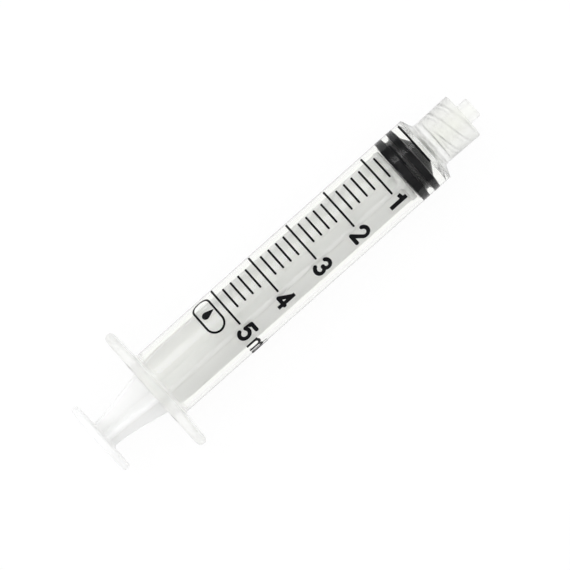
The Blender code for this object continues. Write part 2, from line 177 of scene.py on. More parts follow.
def smooth_step(value: float, low: float, high: float) -> float:
    """Rises smoothly from 0 at low to 1 at high."""
    share = min(max((value - low) / (high - low), 0.0), 1.0)
    return share * share * (3 - 2 * share)


def finished_mesh(name: str, shape: bmesh.types.BMesh, crease: float = 32.0) -> bpy.types.Mesh:
    """Turns a closed bmesh into a smooth-shaded mesh whose faces point out.

    Args:
        name: The mesh's name.
        shape: The closed shape, which is freed.
        crease: Angle in degrees above which an edge stays sharp.

    Returns:
        The mesh.
    """
    if shape.calc_volume(signed=True) < 0:
        bmesh.ops.reverse_faces(shape, faces=shape.faces)
    mesh = bpy.data.meshes.new(name)
    shape.to_mesh(mesh)
    shape.free()
    mesh.shade_smooth()
    mesh.set_sharp_from_angle(angle=math.radians(crease))
    return mesh


def swept(axis: SyringeAxis, name: str, section: Section, steps: int, closed: bool) -> bpy.types.Mesh:
    """Sweeps a section once round the axis. The section may change with the angle.

    Args:
        axis: The syringe's axis.
        name: The mesh's name.
        section: Gives the (radius, station) points for an angle, always as many.
        steps: Steps in the full turn.
        closed: Whether the section closes on itself. If not, its two ends lie on the axis.

    Returns:
        The closed mesh.
    """
    shape = bmesh.new()
    rings = []
    poles: dict[int, bmesh.types.BMVert] = {}
    for k in range(steps):
        angle = math.tau * k / steps
        points = section(angle)
        ends = () if closed else (0, len(points) - 1)
        ring = []
        for i, (radius, station) in enumerate(points):
            if i in ends:
                if i not in poles:
                    poles[i] = shape.verts.new(axis.point(0.0, station, 0.0))
                ring.append(poles[i])
            else:
                ring.append(shape.verts.new(axis.point(radius, station, angle)))
        rings.append(ring)
    count = len(rings[0])
    for ring, following in zip(rings, rings[1:] + rings[:1]):
        for i in range(count if closed else count - 1):
            j = (i + 1) % count
            corners = [ring[i], ring[j], following[j], following[i]]
            unique = list(dict.fromkeys(corners))
            if len(unique) > 2:
                shape.faces.new(unique)
    return finished_mesh(name, shape)


def place(name: str, mesh: bpy.types.Mesh | bpy.types.Curve) -> bpy.types.Object:
    """Links a new object for a mesh that is already in the frame's place.

    Args:
        name: The object's name.
        mesh: Its mesh, or the curve that one is made from.

    Returns:
        The linked object.
    """
    obj = bpy.data.objects.new(name, mesh)
    bpy.context.scene.collection.objects.link(obj)
    return obj


def applied(obj: bpy.types.Object) -> bpy.types.Mesh:
    """The mesh of an object with its modifiers applied and doubled points joined.

    Args:
        obj: The object to read.

    Returns:
        A new mesh.
    """
    graph = bpy.context.evaluated_depsgraph_get()
    graph.update()
    mesh = bpy.data.meshes.new_from_object(obj.evaluated_get(graph))
    shape = bmesh.new()
    shape.from_mesh(mesh)
    bmesh.ops.remove_doubles(shape, verts=shape.verts, dist=1e-7)
    shape.to_mesh(mesh)
    shape.free()
    return mesh


def joined(name: str, meshes: Sequence[bpy.types.Mesh]) -> bpy.types.Mesh:
    """Makes one solid of closed meshes that run into each other.

    Args:
        name: The new mesh's name.
        meshes: The meshes to join.

    Returns:
        The joined mesh.
    """
    objects = [place(f"{name}_piece", mesh) for mesh in meshes]
    for other in objects[1:]:
        union = objects[0].modifiers.new("join", "BOOLEAN")
        union.operation = "UNION"
        union.solver = "EXACT"
        union.object = other
    mesh = applied(objects[0])
    mesh.name = name
    for obj in objects:
        bpy.data.objects.remove(obj, do_unlink=True)
    return mesh


# ---------------------------------------------------------------- finishes


def link(tree: bpy.types.NodeTree, source: bpy.types.NodeSocket, target: bpy.types.NodeSocket) -> None:
    """Links two sockets."""
    tree.links.new(source, target)


class MouldGrain:
    """The faint unevenness of a moulded surface, shared by every finish: fine grain and long flow lines."""

    NAME = "mould_grain"

    @classmethod
    def group(cls) -> bpy.types.NodeTree:
        """Builds the node group once.

        Returns:
            The group, with inputs Grain Scale, Flow Scale, Flow, Smooth and Rough, and outputs Height and
            Roughness.
        """
        if cls.NAME in bpy.data.node_groups:
            return bpy.data.node_groups[cls.NAME]
        tree = bpy.data.node_groups.new(cls.NAME, "ShaderNodeTree")
        for name, value in (("Grain Scale", 9000.0), ("Flow Scale", 900.0), ("Flow", 0.5),
                            ("Smooth", 0.1), ("Rough", 0.2)):
            socket = tree.interface.new_socket(name, in_out="INPUT", socket_type="NodeSocketFloat")
            socket.default_value = value
        tree.interface.new_socket("Height", in_out="OUTPUT", socket_type="NodeSocketFloat")
        tree.interface.new_socket("Roughness", in_out="OUTPUT", socket_type="NodeSocketFloat")
        add = tree.nodes.new
        given = add("NodeGroupInput")
        result = add("NodeGroupOutput")
        place_node = add("ShaderNodeTexCoord")
        grain = add("ShaderNodeTexNoise")
        grain.inputs["Detail"].default_value = 3.0
        stretch = add("ShaderNodeMapping")
        stretch.inputs["Scale"].default_value = (0.06, 1.0, 1.0)
        flow = add("ShaderNodeTexNoise")
        flow.inputs["Detail"].default_value = 1.0
        mix = add("ShaderNodeMix")
        span = add("ShaderNodeMapRange")
        link(tree, place_node.outputs["Object"], grain.inputs["Vector"])
        link(tree, place_node.outputs["Object"], stretch.inputs["Vector"])
        link(tree, stretch.outputs["Vector"], flow.inputs["Vector"])
        link(tree, given.outputs["Grain Scale"], grain.inputs["Scale"])
        link(tree, given.outputs["Flow Scale"], flow.inputs["Scale"])
        link(tree, given.outputs["Flow"], mix.inputs["Factor"])
        link(tree, grain.outputs["Fac"], mix.inputs["A"])
        link(tree, flow.outputs["Fac"], mix.inputs["B"])
        link(tree, mix.outputs["Result"], result.inputs["Height"])
        link(tree, mix.outputs["Result"], span.inputs["Value"])
        link(tree, given.outputs["Smooth"], span.inputs["To Min"])
        link(tree, given.outputs["Rough"], span.inputs["To Max"])
        link(tree, span.outputs["Result"], result.inputs["Roughness"])
        return tree

    @classmethod
    def dress(cls, tree: bpy.types.NodeTree, shader: bpy.types.Node, values: dict[str, float],
              depth: float) -> None:
        """Puts the grain on a shader's roughness and normal.

        Args:
            tree: The material's node tree.
            shader: Its Principled shader.
            values: The group's input values by name.
            depth: Height of the bumps in metres.
        """
        node = tree.nodes.new("ShaderNodeGroup")
        node.node_tree = cls.group()
        for name, value in values.items():
            node.inputs[name].default_value = value
        bump = tree.nodes.new("ShaderNodeBump")
        bump.inputs["Distance"].default_value = depth
        link(tree, node.outputs["Height"], bump.inputs["Height"])
        link(tree, node.outputs["Roughness"], shader.inputs["Roughness"])
        link(tree, bump.outputs["Normal"], shader.inputs["Normal"])


@dataclass(frozen=True)
class SatinEnds:
    """Makes the barrel's thick ends, its flange and front, duller than the polished tube between them."""

    flange: Point = (2.0 * MM, 3.6 * MM)
    front: Point = (64.0 * MM, 65.4 * MM)

    def dress(self, tree: bpy.types.NodeTree, shader: bpy.types.Node, roughness: float) -> None:
        """Blends a shader's roughness towards the satin one near both ends.

        Args:
            tree: The material's node tree.
            shader: Its Principled shader, whose roughness is already linked.
            roughness: Roughness of the satin ends.
        """
        rear = SyringeAxis.from_frame().origin.x
        polished = shader.inputs["Roughness"].links[0].from_socket
        where = tree.nodes.new("ShaderNodeTexCoord")
        split = tree.nodes.new("ShaderNodeSeparateXYZ")
        either = tree.nodes.new("ShaderNodeMath")
        either.operation = "MAXIMUM"
        link(tree, where.outputs["Object"], split.inputs["Vector"])
        for socket, (begin, end), (low, high) in zip(
            either.inputs, (self.flange, self.front), ((1.0, 0.0), (0.0, 1.0))
        ):
            span = tree.nodes.new("ShaderNodeMapRange")
            span.interpolation_type = "SMOOTHSTEP"
            span.inputs["From Min"].default_value = rear + begin
            span.inputs["From Max"].default_value = rear + end
            span.inputs["To Min"].default_value = low
            span.inputs["To Max"].default_value = high
            link(tree, split.outputs["X"], span.inputs["Value"])
            link(tree, span.outputs["Result"], socket)
        blend = tree.nodes.new("ShaderNodeMix")
        blend.inputs["B"].default_value = roughness
        link(tree, either.outputs["Value"], blend.inputs["Factor"])
        link(tree, polished, blend.inputs["A"])
        link(tree, blend.outputs["Result"], shader.inputs["Roughness"])


@dataclass(frozen=True)
class Finish:
    """A surface: its colour, its light-passing values and its grain."""

    slot: Slot
    colour: tuple[float, float, float]
    smooth: float
    rough: float
    grain_scale: float
    flow_scale: float
    flow: float
    depth: float
    transmission: float = 0.0
    ior: float = 1.5
    scatter: float = 0.0
    scatter_depth: float = 0.0
    specular: float = 0.5
    satin_ends: float = 0.0

    @cache
    def material(self) -> bpy.types.Material:
        """Builds the finish once and gives the same one back after that.

        Returns:
            The material.
        """
        material = bpy.data.materials.new(self.slot.value)
        material.use_nodes = True
        tree = material.node_tree
        shader = tree.nodes["Principled BSDF"]
        shader.inputs["Base Color"].default_value = (*self.colour, 1.0)
        shader.inputs["IOR"].default_value = self.ior
        shader.inputs["Transmission Weight"].default_value = self.transmission
        shader.inputs["Specular IOR Level"].default_value = self.specular
        if self.scatter:
            shader.inputs["Subsurface Weight"].default_value = self.scatter
            shader.inputs["Subsurface Radius"].default_value = (1.0, 1.0, 1.0)
            shader.inputs["Subsurface Scale"].default_value = self.scatter_depth
        values = {
            "Grain Scale": self.grain_scale,
            "Flow Scale": self.flow_scale,
            "Flow": self.flow,
            "Smooth": self.smooth,
            "Rough": self.rough,
        }
        MouldGrain.dress(tree, shader, values, self.depth)
        if self.satin_ends:
            SatinEnds().dress(tree, shader, self.satin_ends)
        return material


CLEAR = Finish(Slot.CLEAR, (0.995, 0.998, 0.98), 0.06, 0.14, 3500.0, 500.0, 0.7, 0.004 * MM,
               transmission=1.0, ior=1.3, satin_ends=0.34)
PALE = Finish(Slot.PALE, (0.965, 0.97, 0.95), 0.25, 0.40, 5000.0, 700.0, 0.5, 0.006 * MM,
              transmission=0.15, ior=1.45, scatter=1.0, scatter_depth=3.0 * MM)
RUBBER = Finish(Slot.RUBBER, (0.005, 0.005, 0.006), 0.28, 0.50, 9000.0, 1500.0, 0.2, 0.01 * MM,
                specular=0.15)
INK = Finish(Slot.INK, (0.004, 0.004, 0.005), 0.45, 0.70, 14000.0, 2500.0, 0.1, 0.004 * MM, specular=0.2)


def fit(obj: bpy.types.Object, body: Body, finish: Finish, *nodes: str) -> bpy.types.Object:
    """Finishes a piece: its material, the nodes it stands for and the body it rides on.

    Args:
        obj: The piece, in its place in the frame.
        body: The body that carries it.
        finish: Its finish.
        nodes: The frame's nodes that it replaces.

    Returns:
        The piece.
    """
    obj.data.materials.clear()
    obj.data.materials.append(finish.material())
    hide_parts(*nodes)
    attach(obj, body.value)
    LOG.info("%s: %d faces, on %s", obj.name, len(obj.data.polygons), body.value)
    return obj


# ---------------------------------------------------------------- barrel


@dataclass(frozen=True)
class Thread:
    """The collar's internal thread: right-hand, two starts."""

    wall_radius: float = 3.95 * MM
    depth: float = 0.4 * MM
    lead: float = 5.0 * MM
    starts: int = 2
    crossing: float = 70.45 * MM
    crest_half: float = 0.2 * MM
    root_half: float = 0.6 * MM
    begin: float = 67.8 * MM
    end: float = 73.85 * MM
    run_out: float = 0.5 * MM
    samples: int = 72

    def radius(self, station: float, angle: float) -> float:
        """The wall's radius at a place on the thread.

        Args:
            station: Place along the axis, in metres.
            angle: Place round it, in radians.

        Returns:
            The radius in metres, smaller on a ridge.
        """
        pitch = self.lead / self.starts
        offset = station - self.crossing + self.lead * angle / math.tau
        offset = abs((offset + pitch / 2) % pitch - pitch / 2)
        ridge = 1.0 - smooth_step(offset, self.crest_half, self.root_half)
        rise = smooth_step(station, self.begin, self.begin + self.run_out)
        fall = 1.0 - smooth_step(station, self.end - self.run_out, self.end)
        return self.wall_radius - self.depth * ridge * rise * fall

    def wall(self, angle: float, begin: float, end: float) -> list[Corner]:
        """The wall's points from the collar's floor to its mouth at one angle."""
        stations = [begin + (end - begin) * i / self.samples for i in range(self.samples + 1)]
        return [(self.radius(station, angle), station, 0.0) for station in stations]


@dataclass(frozen=True)
class Flange:
    """The finger flange: a round plate with two flat sides, thinner towards its rim."""

    radius: float = 12.95 * MM
    half_width: float = 7.3 * MM
    root_thickness: float = 2.1 * MM
    rim_thickness: float = 1.7 * MM
    rim_fillet: float = 0.75 * MM
    root_fillet: float = 0.5 * MM
    corner_power: float = 26.0

    def reach(self, angle: float) -> float:
        """The flange's radius at an angle round the axis, with softly rounded corners."""
        across = abs(math.cos(angle)) * self.radius / self.half_width
        return self.radius * (1.0 + across**self.corner_power) ** (-1.0 / self.corner_power)

    def thickness(self, radius: float, barrel_radius: float) -> float:
        """The flange's thickness at a distance from the axis."""
        share = (radius - barrel_radius) / (self.radius - barrel_radius)
        return self.root_thickness + (self.rim_thickness - self.root_thickness) * share


@dataclass
class Barrel:
    """The barrel moulding: tube, finger flange, shoulder, nozzle and threaded luer collar."""

    axis: SyringeAxis
    thread: Thread = Thread()
    flange: Flange = Flange()
    outer_radius: float = 6.7 * MM
    bore_radius: float = 6.0 * MM
    mouth_radius: float = 6.3 * MM
    mouth_depth: float = 0.8 * MM
    bead_radius: float = 5.8 * MM
    bead_station: float = 2.1 * MM
    bead_half: float = 0.6 * MM
    bore_end: float = 64.1 * MM
    seat_radius: float = 4.85 * MM
    seat_station: float = 64.3 * MM
    shoulder_station: float = 65.05 * MM
    collar_root_station: float = 65.95 * MM
    collar_root_radius: float = 4.45 * MM
    collar_mouth_radius: float = 4.6 * MM
    collar_mouth_station: float = 74.03 * MM
    collar_floor_station: float = 67.4 * MM
    nozzle_tip_station: float = 76.4 * MM
    nozzle_tip_radius: float = 1.975 * MM
    nozzle_taper: float = 0.03
    nozzle_bore: float = 1.05 * MM
    nozzle_bore_station: float = 66.45 * MM
    steps: int = 144

    def section(self, angle: float) -> list[Point]:
        """The moulding's section at one angle round the axis.

        Args:
            angle: The angle, in radians.

        Returns:
            The closed section, as radius and station.
        """
        nozzle_root = self.nozzle_tip_radius + self.nozzle_taper * (
            self.nozzle_tip_station - self.collar_floor_station
        )
        wall = self.thread.wall_radius
        rim = self.flange.reach(angle)
        rim_thickness = self.flange.thickness(rim, self.outer_radius)
        room = rim - self.outer_radius
        rim_fillet = min(self.flange.rim_fillet, 0.45 * room)
        root_fillet = min(self.flange.root_fillet, 0.35 * room)
        margin = 0.3 * MM
        return rounded(
            [
                (self.nozzle_bore, self.nozzle_tip_station, 0.1 * MM),
                (self.nozzle_tip_radius, self.nozzle_tip_station, 0.25 * MM),
                (nozzle_root, self.collar_floor_station, 0.2 * MM),
                (wall, self.collar_floor_station, 0.2 * MM),
                *self.thread.wall(
                    angle, self.collar_floor_station + margin, self.collar_mouth_station - margin
                ),
                (wall, self.collar_mouth_station, 0.15 * MM),
                (self.collar_mouth_radius, self.collar_mouth_station, 0.22 * MM),
                (self.collar_root_radius, self.collar_root_station, 0.9 * MM),
                (self.outer_radius, self.shoulder_station, 0.35 * MM),
                (self.outer_radius, self.flange.root_thickness, root_fillet),
                (rim, rim_thickness, rim_fillet),
                (rim, 0.0, rim_fillet),
                (self.mouth_radius, 0.0, 0.15 * MM),
                (self.bore_radius, self.mouth_depth, 0.3 * MM),
                (self.bore_radius, self.bead_station - self.bead_half, 0.1 * MM),
                (self.bead_radius, self.bead_station, 0.4 * MM),
                (self.bore_radius, self.bead_station + self.bead_half, 0.1 * MM),
                (self.bore_radius, self.bore_end, 0.06 * MM),
                (self.seat_radius, self.seat_station, 0.2 * MM),
                (self.nozzle_bore, self.nozzle_bore_station, 0.3 * MM),
            ]
        )

    def build(self) -> bpy.types.Object:
        """Builds the barrel as one closed moulding."""
        mesh = swept(self.axis, "barrel_moulding", self.section, self.steps, closed=True)
        return fit(place("barrel_moulding", mesh), Body.BARREL, CLEAR, "barrel")


# ---------------------------------------------------------------- plunger rod


@dataclass
class PlungerRod:
    """The rod moulding: thumb press, crossed ribs, disc and barbed tip."""

    axis: SyringeAxis
    press_radius: float = 7.25 * MM
    press_front: float = -11.6 * MM
    press_rear: float = -12.85 * MM
    press_dome: float = 0.15 * MM
    press_fillet: float = 0.5 * MM
    rib_thickness: float = 1.1 * MM
    rib_half_width: float = 5.5 * MM
    rib_half_width_at_press: float = 2.85 * MM
    flare_end: float = 6.0 * MM
    tip_fillet: float = 0.38 * MM
    valley_fillet: float = 0.35 * MM
    turn: float = math.radians(21)
    disc_radius: float = 5.4 * MM
    disc_rear: float = 57.3 * MM
    disc_front: float = 58.4 * MM
    neck_radius: float = 2.1 * MM
    barb_radius: float = 3.1 * MM
    barb_rear: float = 60.35 * MM
    barb_shoulder: float = 60.9 * MM
    barb_tip_radius: float = 1.6 * MM
    barb_tip: float = 62.4 * MM
    steps: int = 128

    def half_width(self, station: float) -> float:
        """Half the width across two opposite ribs."""
        eased = smooth_step(station, self.press_front, self.flare_end)
        return self.rib_half_width_at_press + (self.rib_half_width - self.rib_half_width_at_press) * eased

    def swell(self, station: float) -> float:
        """How much the ribs thicken in the fillets where they meet the press and the disc.

        Args:
            station: The distance from the flange's rear face.

        Returns:
            The added thickness, in metres.
        """
        front = self.press_front + self.press_dome
        reach = min(station - front, self.disc_rear - station)
        if reach >= self.press_fillet:
            return 0.0
        depth = self.press_fillet - max(reach, 0.0)
        return self.press_fillet - math.sqrt(self.press_fillet**2 - depth**2)

    def cross(self, station: float) -> list[Point]:
        """The outline of the crossed ribs at a station.

        Args:
            station: The distance from the flange's rear face.

        Returns:
            The outline's points, round the axis.
        """
        swell = self.swell(station)
        half = self.rib_thickness / 2 + min(swell, 0.45 * MM)
        limit = self.press_radius if station < self.flare_end else self.rib_half_width
        width = min(self.half_width(station) + swell, limit)
        arm = [(half, half, self.valley_fillet), (width, half, self.tip_fillet),
               (width, -half, self.tip_fillet)]
        corners: list[Corner] = []
        for quarter in range(4):
            spin = Matrix.Rotation(-quarter * math.pi / 2, 2)
            corners += [(*(spin @ Vector((x, y))), radius) for x, y, radius in arm]
        return rounded(corners, steps=4, support=0.03 * MM)

    def ribs(self) -> bpy.types.Mesh:
        """The crossed ribs, from inside the thumb press to inside the disc.

        Returns:
            A closed mesh.
        """
        front = self.press_front + self.press_dome
        near = [0.0, 0.02, 0.06, 0.12, 0.2, 0.3, 0.4, 0.5]
        stations = [self.press_front - 0.4 * MM]
        stations += [front + reach * MM for reach in near]
        flare = 20
        start = stations[-1]
        stations += [start + (self.flare_end - start) * i / flare for i in range(1, flare + 1)]
        stations += [self.disc_rear - reach * MM for reach in reversed(near)]
        stations += [self.disc_rear + 0.4 * MM]
        shape = bmesh.new()
        rings = []
        for station in stations:
            ring = []
            for x, y in self.cross(station):
                place_on_axis = self.axis.point(math.hypot(x, y), station, math.atan2(y, x) - self.turn)
                ring.append(shape.verts.new(place_on_axis))
            rings.append(ring)
        for ring, following in zip(rings, rings[1:]):
            for i in range(len(ring)):
                j = (i + 1) % len(ring)
                shape.faces.new((ring[i], ring[j], following[j], following[i]))
        for ring, station, end in ((rings[0], stations[0], -1), (rings[-1], stations[-1], 1)):
            middle = shape.verts.new(self.axis.point(0.0, station, 0.0))
            run = ring[::end]
            for one, other in zip(run, run[1:] + run[:1]):
                shape.faces.new((one, other, middle))
        return finished_mesh("ribs", shape)

    def press(self) -> bpy.types.Mesh:
        """The thumb press.

        Returns:
            A closed mesh.
        """
        corners = [
            (0.0, self.press_front + self.press_dome, 0.0),
            (self.rib_half_width_at_press, self.press_front + self.press_dome, 0.0),
            (self.press_radius, self.press_front, 0.42 * MM),
            (self.press_radius, self.press_rear, 0.42 * MM),
            (0.0, self.press_rear, 0.0),
        ]
        return swept(self.axis, "press", lambda angle: rounded(corners), self.steps, closed=False)

    def head(self) -> bpy.types.Mesh:
        """The disc behind the stopper, the neck and the barbed tip.

        Returns:
            A closed mesh.
        """
        corners = [
            (0.0, self.barb_tip, 0.0),
            (self.barb_tip_radius, self.barb_tip, 0.3 * MM),
            (self.barb_radius, self.barb_shoulder, 0.2 * MM),
            (self.barb_radius, self.barb_rear, 0.08 * MM),
            (self.neck_radius, self.barb_rear, 0.08 * MM),
            (self.neck_radius, self.disc_front, 0.1 * MM),
            (self.disc_radius, self.disc_front, 0.25 * MM),
            (self.disc_radius, self.disc_rear, 0.25 * MM),
            (0.0, self.disc_rear, 0.0),
        ]
        return swept(self.axis, "head", lambda angle: rounded(corners), self.steps, closed=False)

    def build(self) -> bpy.types.Object:
        """Builds the rod as one closed moulding.

        Returns:
            The finished piece.
        """
        mesh = joined("plunger_rod_moulding", [self.ribs(), self.press(), self.head()])
        mesh.shade_smooth()
        mesh.set_sharp_from_angle(angle=math.radians(32))
        return fit(place("plunger_rod_moulding", mesh), Body.ROD, PALE, "plunger_rod")


# ---------------------------------------------------------------- stopper


@dataclass
class Stopper:
    """The rubber stopper: conical nose, two sealing rings and the socket for the rod's tip.

    Its rings are pressed a hair's breadth into the bore, so that no air shows between them and the wall.
    """

    axis: SyringeAxis
    ring_radius: float = 6.03 * MM
    groove_radius: float = 5.5 * MM
    groove_slope: float = 0.25 * MM
    rear: float = 58.65 * MM
    groove_rear: float = 60.25 * MM
    groove_front: float = 61.4 * MM
    reading_edge: float = 62.75 * MM
    nose_base_radius: float = 4.45 * MM
    nose_base: float = 62.95 * MM
    nose_tip_radius: float = 2.0 * MM
    nose_tip: float = 64.5 * MM
    neck_radius: float = 2.2 * MM
    lip_front: float = 60.15 * MM
    barb_radius: float = 3.2 * MM
    barb_shoulder: float = 60.95 * MM
    socket_floor: float = 62.5 * MM
    socket_floor_radius: float = 1.7 * MM
    steps: int = 128

    def build(self) -> bpy.types.Object:
        """Builds the stopper as one closed moulding.

        Returns:
            The finished piece.
        """
        corners = [
            (0.0, self.nose_tip, 0.0),
            (self.nose_tip_radius, self.nose_tip, 0.5 * MM),
            (self.nose_base_radius, self.nose_base, 0.25 * MM),
            (self.ring_radius, self.reading_edge, 0.2 * MM),
            (self.ring_radius, self.groove_front, 0.15 * MM),
            (self.groove_radius, self.groove_front - self.groove_slope, 0.15 * MM),
            (self.groove_radius, self.groove_rear + self.groove_slope, 0.15 * MM),
            (self.ring_radius, self.groove_rear, 0.15 * MM),
            (self.ring_radius, self.rear, 0.2 * MM),
            (self.neck_radius, self.rear, 0.1 * MM),
            (self.neck_radius, self.lip_front, 0.05 * MM),
            (self.barb_radius, self.lip_front, 0.05 * MM),
            (self.barb_radius, self.barb_shoulder, 0.1 * MM),
            (self.socket_floor_radius, self.socket_floor, 0.1 * MM),
            (0.0, self.socket_floor, 0.0),
        ]
        mesh = swept(self.axis, "stopper_moulding", lambda angle: rounded(corners), self.steps, closed=False)
        return fit(place("stopper_moulding", mesh), Body.STOPPER, RUBBER, "stopper")


# ---------------------------------------------------------------- print


class Ends(Enum):
    """How a printed stroke ends."""

    ROUND = "round"
    SQUARE = "square"
    RING = "ring"


@dataclass(frozen=True)
class Stroke:
    """A band of ink along a line of points. X is the reading direction and Y points up the mark."""

    points: tuple[Point, ...]
    width: float
    ends: Ends = Ends.ROUND
    sharp_turn: float = math.radians(40)
    join_step: float = math.radians(18)

    def side(self, side: int) -> list[Point]:
        """One edge of the band: sharp turns are rounded on their outer side and mitred on their inner.

        Args:
            side: 1 for the left edge, -1 for the right one.

        Returns:
            The edge's points, in the line's own order.
        """
        line = [Vector(point) for point in self.points]
        ring = self.ends is Ends.RING
        edge: list[Point] = []
        for i, here in enumerate(line):
            leaving = line[(i + 1) % len(line)] - here if ring or i < len(line) - 1 else here - line[i - 1]
            arriving = here - line[i - 1] if ring or i else leaving
            heading = math.atan2(arriving.y, arriving.x)
            turn = math.remainder(math.atan2(leaving.y, leaving.x) - heading, math.tau)
            normal = heading + side * math.pi / 2
            if abs(turn) > self.sharp_turn and turn * side < 0:
                steps = math.ceil(abs(turn) / self.join_step)
                spokes = [(normal + turn * k / steps, self.width / 2) for k in range(steps + 1)]
            else:
                spokes = [(normal + turn / 2, self.width / 2 / math.cos(turn / 2))]
            edge += [(here.x + r * math.cos(a), here.y + r * math.sin(a)) for a, r in spokes]
        return edge

    def cap(self, end: Vector, before: Vector) -> list[Point]:
        """The points that round the band off past one end of its line.

        Args:
            end: The line's last point at this end.
            before: The point before it.

        Returns:
            The cap's points, or none on a square end.
        """
        if self.ends is Ends.SQUARE:
            return []
        heading = math.degrees(math.atan2(end.y - before.y, end.x - before.x))
        return arc((end.x, end.y), self.width / 2, heading + 90, heading - 90, 10)[1:-1]

    def outlines(self) -> list[list[Point]]:
        """The band's closed outline, or its two outlines where it is a ring.

        Returns:
            One or two closed outlines.
        """
        left = self.side(1)
        right = self.side(-1)
        if self.ends is Ends.RING:
            return [left, right]
        line = [Vector(point) for point in self.points]
        return [left + self.cap(line[-1], line[-2]) + right[::-1] + self.cap(line[0], line[1])]


@dataclass(frozen=True)
class Filled:
    """A patch of ink inside one closed outline."""

    points: tuple[Point, ...]

    def outlines(self) -> list[list[Point]]:
        """The patch's outline."""
        return [list(self.points)]


@dataclass(frozen=True)
class Mark:
    """One printed mark and its place on the barrel."""

    node: str
    shapes: tuple[Stroke | Filled, ...]
    station: float
    angle: float


@dataclass
class Print:
    """The scale, its numerals and unit, and a generic mark, printed on the barrel."""

    axis: SyringeAxis
    surface: float = 6.71 * MM
    thickness: float = 0.03 * MM
    zero_station: float = 64.03 * MM
    bore_radius: float = 6.0 * MM
    capacity: int = 5
    tenths_per_line: int = 2
    skew: float = math.radians(7.5)
    line_width: float = 0.4 * MM
    line_angle: float = math.radians(28)
    long_half: float = math.radians(42)
    short_half: float = math.radians(20)
    numeral_stroke: float = 0.76 * MM
    one_stroke: float = 0.88 * MM
    flag_stroke: float = 0.75 * MM
    numeral_half_height: float = 1.55 * MM
    numeral_half_width: float = 0.97 * MM
    numeral_angle: float = math.radians(-31.8)
    unit_stroke: float = 0.55 * MM
    unit_half_width: float = 1.6 * MM
    unit_x_height: float = 2.75 * MM
    unit_m_angle: float = math.radians(-67.8)
    unit_l_angle: float = math.radians(-98.5)
    mark_station: float = 16.6 * MM
    mark_angle: float = math.radians(30)
    mark_stroke: float = 0.4 * MM
    mark_half_width: float = 3.9 * MM
    mark_half_height: float = 1.75 * MM
    droplet_radius: float = 0.75 * MM
    droplet_tail: float = 1.9 * MM
    droplet_offset: float = 0.35 * MM
    wrap_step: float = math.radians(3)

    def station_of(self, millilitres: float) -> float:
        """The station of a volume's line, from the bore's cross-section."""
        return self.zero_station - millilitres * 1e-6 / (math.pi * self.bore_radius**2)

    def askew(self, angle: float, station: float) -> float:
        """The angle of a mark at a station: the print runs slightly askew round the barrel.

        Args:
            angle: The angle halfway along the scale.
            station: The distance from the flange's rear face.

        Returns:
            The angle at the station.
        """
        middle = self.station_of(self.capacity / 2)
        length = self.zero_station - self.station_of(self.capacity)
        return angle - self.skew * (station - middle) / length

    def mark(self, node: str, shapes: Sequence[Stroke | Filled], station: float, angle: float) -> Mark:
        """A mark at a station, with the print's skew in its angle."""
        return Mark(node, tuple(shapes), station, self.askew(angle, station))

    def lines(self) -> list[Mark]:
        """The scale's lines, long at each whole millilitre.

        Returns:
            A mark for each line.
        """
        marks = []
        for tenths in range(0, self.capacity * 10 + 1, self.tenths_per_line):
            half = self.long_half if tenths % 10 == 0 else self.short_half
            reach = half * self.surface
            stroke = Stroke(((-reach, 0.0), (reach, 0.0)), self.line_width)
            node = f"scale_line_{tenths // 10}_{tenths % 10}"
            marks.append(self.mark(node, [stroke], self.station_of(tenths / 10), self.line_angle))
        return marks

    def numerals(self) -> list[Mark]:
        """The numerals 1 to 5, each centred on its line.

        Returns:
            A mark for each numeral.
        """
        w = self.numeral_half_width
        h = self.numeral_half_height
        thick = self.numeral_stroke
        top = h + thick / 2
        bar = -0.5 * h
        stem = 0.55 * w
        two_bowl = oval((0.0, 0.42 * h), w, 0.58 * h, 165, -32, 22)
        three_top = oval((-0.05 * w, 0.5 * h), 0.9 * w, 0.5 * h, 155, -90, 22)
        three_foot = oval((-0.05 * w, -0.48 * h), w, 0.52 * h, 90, -155, 22)
        five_bowl = oval((-0.05 * w, -0.36 * h), w, 0.64 * h, 132, -150, 24)
        drawn = {
            1: [
                Stroke(((0.12 * w, -top), (0.12 * w, 0.91 * top)), self.one_stroke, Ends.SQUARE),
                Stroke(((0.0, 0.48 * top), (-1.15 * w, 0.38 * top)), self.flag_stroke, Ends.SQUARE),
            ],
            2: [Stroke((*two_bowl, (-w, -h), (w, -h)), thick)],
            3: [Stroke(three_top, thick), Stroke(three_foot, thick)],
            4: [
                Stroke(((stem, -top), (stem, top)), thick, Ends.SQUARE),
                Stroke(((stem, 0.95 * h), (-w, bar), (w, bar)), thick),
            ],
            5: [Stroke(((w, h), (-0.6 * w, h), *five_bowl), thick)],
        }
        return [
            self.mark(f"numeral_{number}", shapes, self.station_of(number), self.numeral_angle)
            for number, shapes in drawn.items()
        ]

    def unit(self) -> list[Mark]:
        """The unit after the highest numeral: a small m and a capital L.

        Returns:
            A mark for each letter.
        """
        station = self.station_of(self.capacity)
        high = self.numeral_half_height
        w = self.unit_half_width
        bow = w / 2
        foot = -high - self.unit_stroke / 2
        shoulder = -high + self.unit_x_height - self.unit_stroke - bow
        legs = [Stroke(((-w, foot), (-w, shoulder + bow)), self.unit_stroke, Ends.SQUARE)]
        for side in (-1, 1):
            arch = oval((side * bow, shoulder), bow, bow, 180, 0, 14)
            legs.append(Stroke((*arch, (side * bow + bow, foot)), self.unit_stroke, Ends.SQUARE))
        narrow = self.numeral_half_width * 0.8
        ell = Stroke(((-narrow, high), (-narrow, -high), (narrow, -high)), self.unit_stroke)
        return [
            self.mark("unit_m", legs, station, self.unit_m_angle),
            self.mark("unit_l", [ell], station, self.unit_l_angle),
        ]

